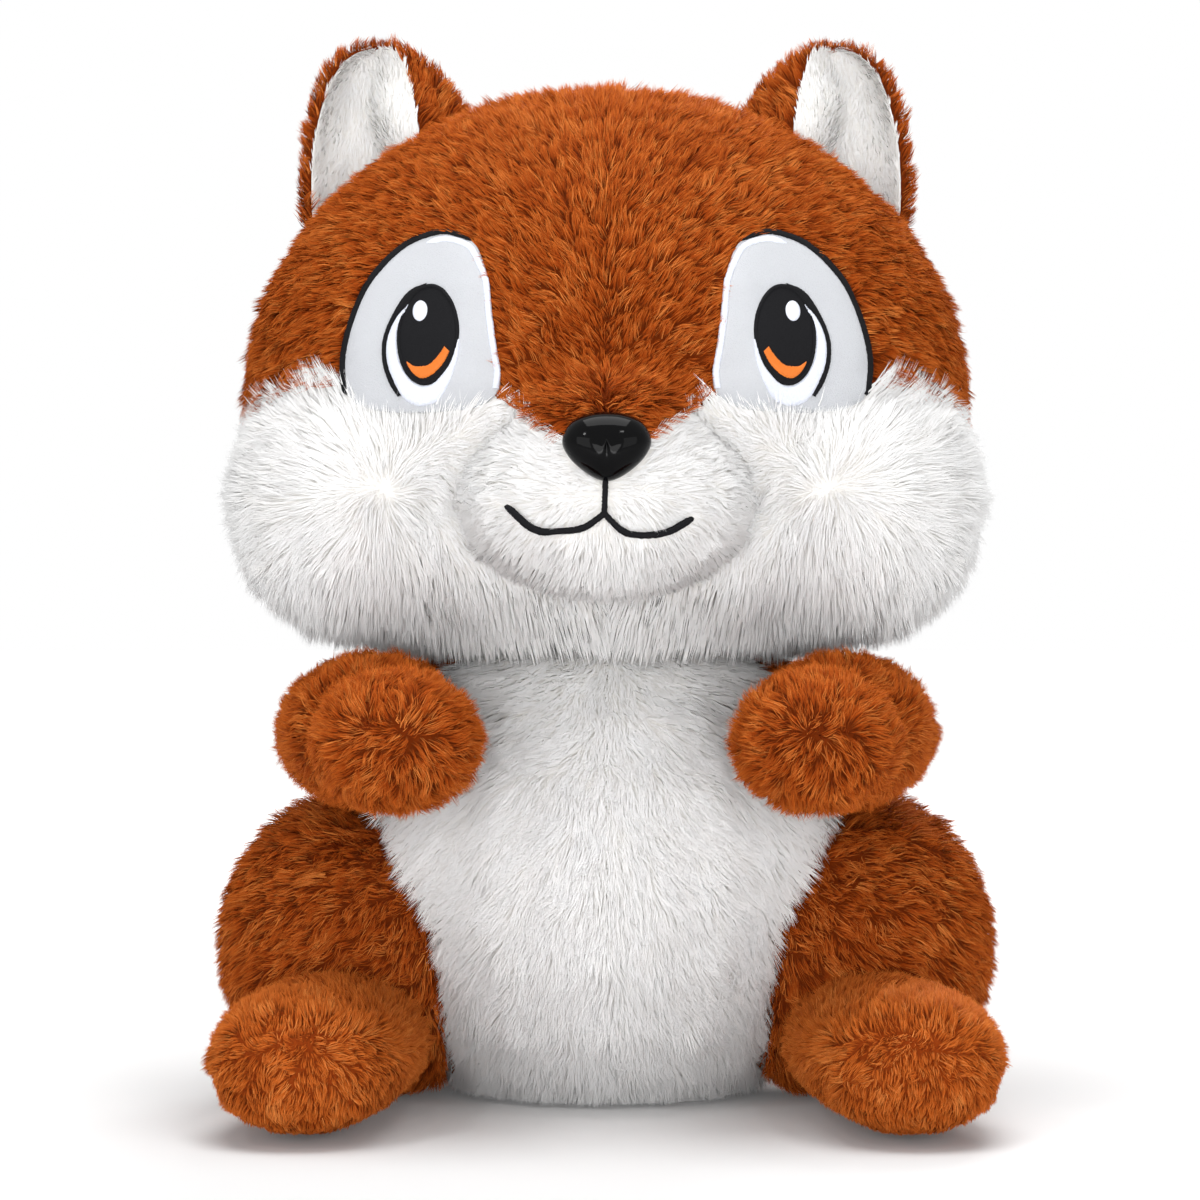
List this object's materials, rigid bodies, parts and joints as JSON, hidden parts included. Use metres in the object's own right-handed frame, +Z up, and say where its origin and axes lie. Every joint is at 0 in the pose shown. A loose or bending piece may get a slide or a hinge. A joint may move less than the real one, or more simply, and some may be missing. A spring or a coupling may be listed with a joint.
{
  "type": "plush squirrel",
  "caption": "Sitting plush squirrel with brown and white fur panels, embroidered eyes, plastic nose, stubby arms and an upright tail, jointed at its sewn seams",
  "frame": {"origin": "Middle of the flat seat panel, on the surface that the toy sits on.", "axes": "+Z is up. The toy faces -Y, and its own left side is +X. The box is narrowest along X."},
  "size_m": [0.2886, 0.3851, 0.3937],
  "materials": {
    "brown_fur": "long-pile chestnut brown plush fur, paler at the tips",
    "short_brown_plush": "short-pile lighter brown plush",
    "white_fur": "long-pile off-white plush fur",
    "filling": "polyester fibre filling",
    "white_velboa": "very short smooth white pile",
    "black_thread": "black satin-stitch embroidery thread",
    "white_thread": "white satin-stitch embroidery thread",
    "orange_thread": "orange satin-stitch embroidery thread",
    "black_plastic": "glossy moulded black plastic",
    "clear_plastic": "milky moulded plastic",
    "bag_cotton": "plain cotton bag filled with plastic pellets"
  },
  "bodies": {
    "torso": {"body_stuffing": "filling", "pellet_bag": "bag_cotton", "belly_left": "white_fur", "belly_right": "white_fur", "back_left": "brown_fur", "back_right": "brown_fur", "seat_panel": "short_brown_plush"},
    "neck": {"neck_stuffing": "filling"},
    "head": {"head_stuffing": "filling", "crown_left": "brown_fur", "crown_right": "brown_fur", "head_back": "brown_fur", "cheek_left": "white_fur", "cheek_right": "white_fur", "muzzle": "white_fur", "nose": "black_plastic", "nose_washer": "clear_plastic", "mouth_stitch": "black_thread", "eye_white_left": "white_velboa", "eye_outline_left": "black_thread", "pupil_left": "black_thread", "eye_crescent_left": "white_thread", "iris_left": "orange_thread", "glint_left": "white_thread", "eye_white_right": "white_velboa", "eye_outline_right": "black_thread", "pupil_right": "black_thread", "eye_crescent_right": "white_thread", "iris_right": "orange_thread", "glint_right": "white_thread"},
    "ear_left": {"ear_back_left": "brown_fur", "ear_inner_left": "white_fur"},
    "ear_right": {"ear_back_right": "brown_fur", "ear_inner_right": "white_fur"},
    "arm_left": {"arm_fur_left": "brown_fur", "arm_stuffing_left": "filling"},
    "arm_right": {"arm_fur_right": "brown_fur", "arm_stuffing_right": "filling"},
    "leg_left": {"thigh_fur_left": "brown_fur", "thigh_stuffing_left": "filling", "foot_fur_left": "short_brown_plush", "foot_sole_left": "short_brown_plush", "foot_stuffing_left": "filling"},
    "leg_right": {"thigh_fur_right": "brown_fur", "thigh_stuffing_right": "filling", "foot_fur_right": "short_brown_plush", "foot_sole_right": "short_brown_plush", "foot_stuffing_right": "filling"},
    "tail": {"tail_fur": "brown_fur", "tail_stuffing": "filling"}
  },
  "joints": [
    {"name": "neck_turn", "type": "hinge", "parent": "torso", "child": "neck", "pos_m": [0, 0.01, 0.185], "axis": [0, 0, 1], "range_deg": [-20, 20], "stiffness_Nm_per_rad": 1.5},
    {"name": "head_nod", "type": "hinge", "parent": "neck", "child": "head", "pos_m": [0, 0.01, 0.185], "axis": [-1, 0, 0], "range_deg": [0, 10], "stiffness_Nm_per_rad": 4},
    {"name": "ear_left_fold", "type": "hinge", "parent": "head", "child": "ear_left", "pos_m": [0.085, 0.012, 0.347], "axis": [-0.6861, -0.4287, 0.5878], "range_deg": [-15, 15], "stiffness_Nm_per_rad": 0.05},
    {"name": "ear_right_fold", "type": "hinge", "parent": "head", "child": "ear_right", "pos_m": [-0.085, 0.012, 0.347], "axis": [0.6861, -0.4287, 0.5878], "range_deg": [-15, 15], "stiffness_Nm_per_rad": 0.05},
    {"name": "arm_left_swing", "type": "hinge", "parent": "torso", "child": "arm_left", "pos_m": [0.087, -0.038, 0.136], "axis": [-1, 0, 0], "range_deg": [-15, 0], "stiffness_Nm_per_rad": 1.5},
    {"name": "arm_right_swing", "type": "hinge", "parent": "torso", "child": "arm_right", "pos_m": [-0.087, -0.038, 0.136], "axis": [-1, 0, 0], "range_deg": [-15, 0], "stiffness_Nm_per_rad": 1.5},
    {"name": "leg_left_lift", "type": "hinge", "parent": "torso", "child": "leg_left", "pos_m": [0.1, -0.015, 0.057], "axis": [-1, 0, 0], "range_deg": [0, 18], "stiffness_Nm_per_rad": 2},
    {"name": "leg_right_lift", "type": "hinge", "parent": "torso", "child": "leg_right", "pos_m": [-0.1, -0.015, 0.057], "axis": [-1, 0, 0], "range_deg": [0, 18], "stiffness_Nm_per_rad": 2},
    {"name": "tail_tilt", "type": "hinge", "parent": "torso", "child": "tail", "pos_m": [0, 0.092, 0.032], "axis": [-1, 0, 0], "range_deg": [0, 25], "stiffness_Nm_per_rad": 2}
  ]
}
